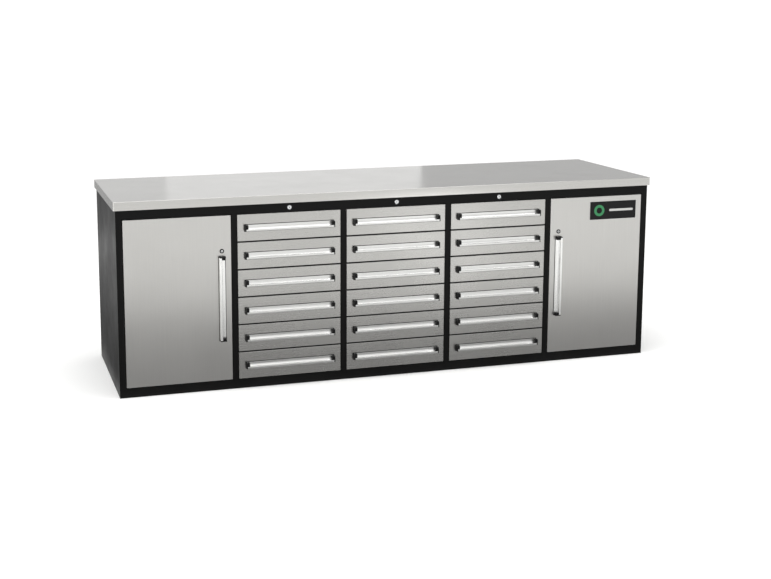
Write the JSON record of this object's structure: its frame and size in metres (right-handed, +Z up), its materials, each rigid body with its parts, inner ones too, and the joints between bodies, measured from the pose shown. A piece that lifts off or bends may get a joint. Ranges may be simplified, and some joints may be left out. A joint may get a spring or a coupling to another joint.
{
  "type": "workbench tool cabinet",
  "caption": "Long stainless workbench on a black steel body, with banks of shallow locking tool drawers between two door cupboards.",
  "frame": {"origin": "on the floor, in the middle of the bounding box of the closed cabinet, handles included", "axes": "+Z up, +Y towards the back, +X to the right for a person who faces the drawers"},
  "size_m": [2.86, 0.824, 0.97],
  "materials": {
    "brushed_stainless": "stainless sheet with a fine brushed grain",
    "black_powder_coat": "smooth semi-gloss black powder coat on steel sheet",
    "satin_aluminium": "satin anodised extrusion",
    "chrome_plate": "bright chrome plate on the locks",
    "zinc_plated_steel": "bright zinc plate on the lock bars and slides",
    "black_plastic": "moulded black plastic, fine texture"
  },
  "bodies": {
    "cabinet": {"face_frame": "black_powder_coat", "side_panel_left": "black_powder_coat", "side_panel_right": "black_powder_coat", "base_pan": "black_powder_coat", "back_panel": "black_powder_coat", "divider_1": "black_powder_coat", "divider_2": "black_powder_coat", "divider_3": "black_powder_coat", "divider_4": "black_powder_coat", "shelf_left": "black_powder_coat", "shelf_right": "black_powder_coat", "worktop": "brushed_stainless"},
    "drawer_1_1": {"drawer_1_1": "brushed_stainless", "drawer_handle_1_1": "satin_aluminium"},
    "drawer_1_2": {"drawer_1_2": "brushed_stainless", "drawer_handle_1_2": "satin_aluminium"},
    "drawer_1_3": {"drawer_1_3": "brushed_stainless", "drawer_handle_1_3": "satin_aluminium"},
    "drawer_1_4": {"drawer_1_4": "brushed_stainless", "drawer_handle_1_4": "satin_aluminium"},
    "drawer_1_5": {"drawer_1_5": "brushed_stainless", "drawer_handle_1_5": "satin_aluminium"},
    "drawer_1_6": {"drawer_1_6": "brushed_stainless", "drawer_handle_1_6": "satin_aluminium"},
    "drawer_2_1": {"drawer_2_1": "brushed_stainless", "drawer_handle_2_1": "satin_aluminium"},
    "drawer_2_2": {"drawer_2_2": "brushed_stainless", "drawer_handle_2_2": "satin_aluminium"},
    "drawer_2_3": {"drawer_2_3": "brushed_stainless", "drawer_handle_2_3": "satin_aluminium"},
    "drawer_2_4": {"drawer_2_4": "brushed_stainless", "drawer_handle_2_4": "satin_aluminium"},
    "drawer_2_5": {"drawer_2_5": "brushed_stainless", "drawer_handle_2_5": "satin_aluminium"},
    "drawer_2_6": {"drawer_2_6": "brushed_stainless", "drawer_handle_2_6": "satin_aluminium"},
    "drawer_3_1": {"drawer_3_1": "brushed_stainless", "drawer_handle_3_1": "satin_aluminium"},
    "drawer_3_2": {"drawer_3_2": "brushed_stainless", "drawer_handle_3_2": "satin_aluminium"},
    "drawer_3_3": {"drawer_3_3": "brushed_stainless", "drawer_handle_3_3": "satin_aluminium"},
    "drawer_3_4": {"drawer_3_4": "brushed_stainless", "drawer_handle_3_4": "satin_aluminium"},
    "drawer_3_5": {"drawer_3_5": "brushed_stainless", "drawer_handle_3_5": "satin_aluminium"},
    "drawer_3_6": {"drawer_3_6": "brushed_stainless", "drawer_handle_3_6": "satin_aluminium"},
    "door_left": {"door_left": "brushed_stainless", "door_handle_left": "satin_aluminium"},
    "door_lock_left": {"door_lock_left": "chrome_plate"},
    "door_right": {"door_right": "brushed_stainless", "door_handle_right": "satin_aluminium"},
    "door_lock_right": {"door_lock_right": "chrome_plate"},
    "bank_lock_1": {"bank_lock_1": "chrome_plate"},
    "lock_bar_1": {"lock_bar_1": "zinc_plated_steel"},
    "bank_lock_2": {"bank_lock_2": "chrome_plate"},
    "lock_bar_2": {"lock_bar_2": "zinc_plated_steel"},
    "bank_lock_3": {"bank_lock_3": "chrome_plate"},
    "lock_bar_3": {"lock_bar_3": "zinc_plated_steel"}
  },
  "joints": [
    {"name": "drawer_slide_1_1", "type": "slide", "parent": "cabinet", "child": "drawer_1_1", "axis": [0, -1, 0], "range_m": [0, 0.44]},
    {"name": "drawer_slide_1_2", "type": "slide", "parent": "cabinet", "child": "drawer_1_2", "axis": [0, -1, 0], "range_m": [0, 0.44]},
    {"name": "drawer_slide_1_3", "type": "slide", "parent": "cabinet", "child": "drawer_1_3", "axis": [0, -1, 0], "range_m": [0, 0.44]},
    {"name": "drawer_slide_1_4", "type": "slide", "parent": "cabinet", "child": "drawer_1_4", "axis": [0, -1, 0], "range_m": [0, 0.44]},
    {"name": "drawer_slide_1_5", "type": "slide", "parent": "cabinet", "child": "drawer_1_5", "axis": [0, -1, 0], "range_m": [0, 0.44]},
    {"name": "drawer_slide_1_6", "type": "slide", "parent": "cabinet", "child": "drawer_1_6", "axis": [0, -1, 0], "range_m": [0, 0.44]},
    {"name": "drawer_slide_2_1", "type": "slide", "parent": "cabinet", "child": "drawer_2_1", "axis": [0, -1, 0], "range_m": [0, 0.44]},
    {"name": "drawer_slide_2_2", "type": "slide", "parent": "cabinet", "child": "drawer_2_2", "axis": [0, -1, 0], "range_m": [0, 0.44]},
    {"name": "drawer_slide_2_3", "type": "slide", "parent": "cabinet", "child": "drawer_2_3", "axis": [0, -1, 0], "range_m": [0, 0.44]},
    {"name": "drawer_slide_2_4", "type": "slide", "parent": "cabinet", "child": "drawer_2_4", "axis": [0, -1, 0], "range_m": [0, 0.44]},
    {"name": "drawer_slide_2_5", "type": "slide", "parent": "cabinet", "child": "drawer_2_5", "axis": [0, -1, 0], "range_m": [0, 0.44]},
    {"name": "drawer_slide_2_6", "type": "slide", "parent": "cabinet", "child": "drawer_2_6", "axis": [0, -1, 0], "range_m": [0, 0.44]},
    {"name": "drawer_slide_3_1", "type": "slide", "parent": "cabinet", "child": "drawer_3_1", "axis": [0, -1, 0], "range_m": [0, 0.44]},
    {"name": "drawer_slide_3_2", "type": "slide", "parent": "cabinet", "child": "drawer_3_2", "axis": [0, -1, 0], "range_m": [0, 0.44]},
    {"name": "drawer_slide_3_3", "type": "slide", "parent": "cabinet", "child": "drawer_3_3", "axis": [0, -1, 0], "range_m": [0, 0.44]},
    {"name": "drawer_slide_3_4", "type": "slide", "parent": "cabinet", "child": "drawer_3_4", "axis": [0, -1, 0], "range_m": [0, 0.44]},
    {"name": "drawer_slide_3_5", "type": "slide", "parent": "cabinet", "child": "drawer_3_5", "axis": [0, -1, 0], "range_m": [0, 0.44]},
    {"name": "drawer_slide_3_6", "type": "slide", "parent": "cabinet", "child": "drawer_3_6", "axis": [0, -1, 0], "range_m": [0, 0.44]},
    {"name": "door_hinge_left", "type": "hinge", "parent": "cabinet", "child": "door_left", "pos_m": [-1.3705, -0.381, 0.464], "axis": [0, 0, -1], "range_deg": [0, 105]},
    {"name": "door_lock_turn_left", "type": "hinge", "parent": "door_left", "child": "door_lock_left", "pos_m": [-0.9045, -0.388, 0.703], "axis": [0, -1, 0], "range_deg": [0, 90]},
    {"name": "door_hinge_right", "type": "hinge", "parent": "cabinet", "child": "door_right", "pos_m": [1.3705, -0.381, 0.464], "axis": [0, 0, 1], "range_deg": [0, 105]},
    {"name": "door_lock_turn_right", "type": "hinge", "parent": "door_right", "child": "door_lock_right", "pos_m": [0.9045, -0.388, 0.703], "axis": [0, 1, 0], "range_deg": [0, 90]},
    {"name": "bank_lock_turn_1", "type": "hinge", "parent": "cabinet", "child": "bank_lock_1", "pos_m": [-0.561, -0.388, 0.904], "axis": [0, -1, 0], "range_deg": [0, 90]},
    {"name": "lock_bar_lift_1", "type": "slide", "parent": "cabinet", "child": "lock_bar_1", "axis": [0, 0, 1], "range_m": [0, 0.01202]},
    {"name": "bank_lock_turn_2", "type": "hinge", "parent": "cabinet", "child": "bank_lock_2", "pos_m": [0, -0.388, 0.904], "axis": [0, -1, 0], "range_deg": [0, 90]},
    {"name": "lock_bar_lift_2", "type": "slide", "parent": "cabinet", "child": "lock_bar_2", "axis": [0, 0, 1], "range_m": [0, 0.01202]},
    {"name": "bank_lock_turn_3", "type": "hinge", "parent": "cabinet", "child": "bank_lock_3", "pos_m": [0.561, -0.388, 0.904], "axis": [0, -1, 0], "range_deg": [0, 90]},
    {"name": "lock_bar_lift_3", "type": "slide", "parent": "cabinet", "child": "lock_bar_3", "axis": [0, 0, 1], "range_m": [0, 0.01202]}
  ],
  "couplings": [
    {"joint": "bank_lock_turn_1", "follows": "lock_bar_lift_1", "rad_per_m": 130.67},
    {"joint": "bank_lock_turn_2", "follows": "lock_bar_lift_2", "rad_per_m": 130.67},
    {"joint": "bank_lock_turn_3", "follows": "lock_bar_lift_3", "rad_per_m": 130.67}
  ]
}
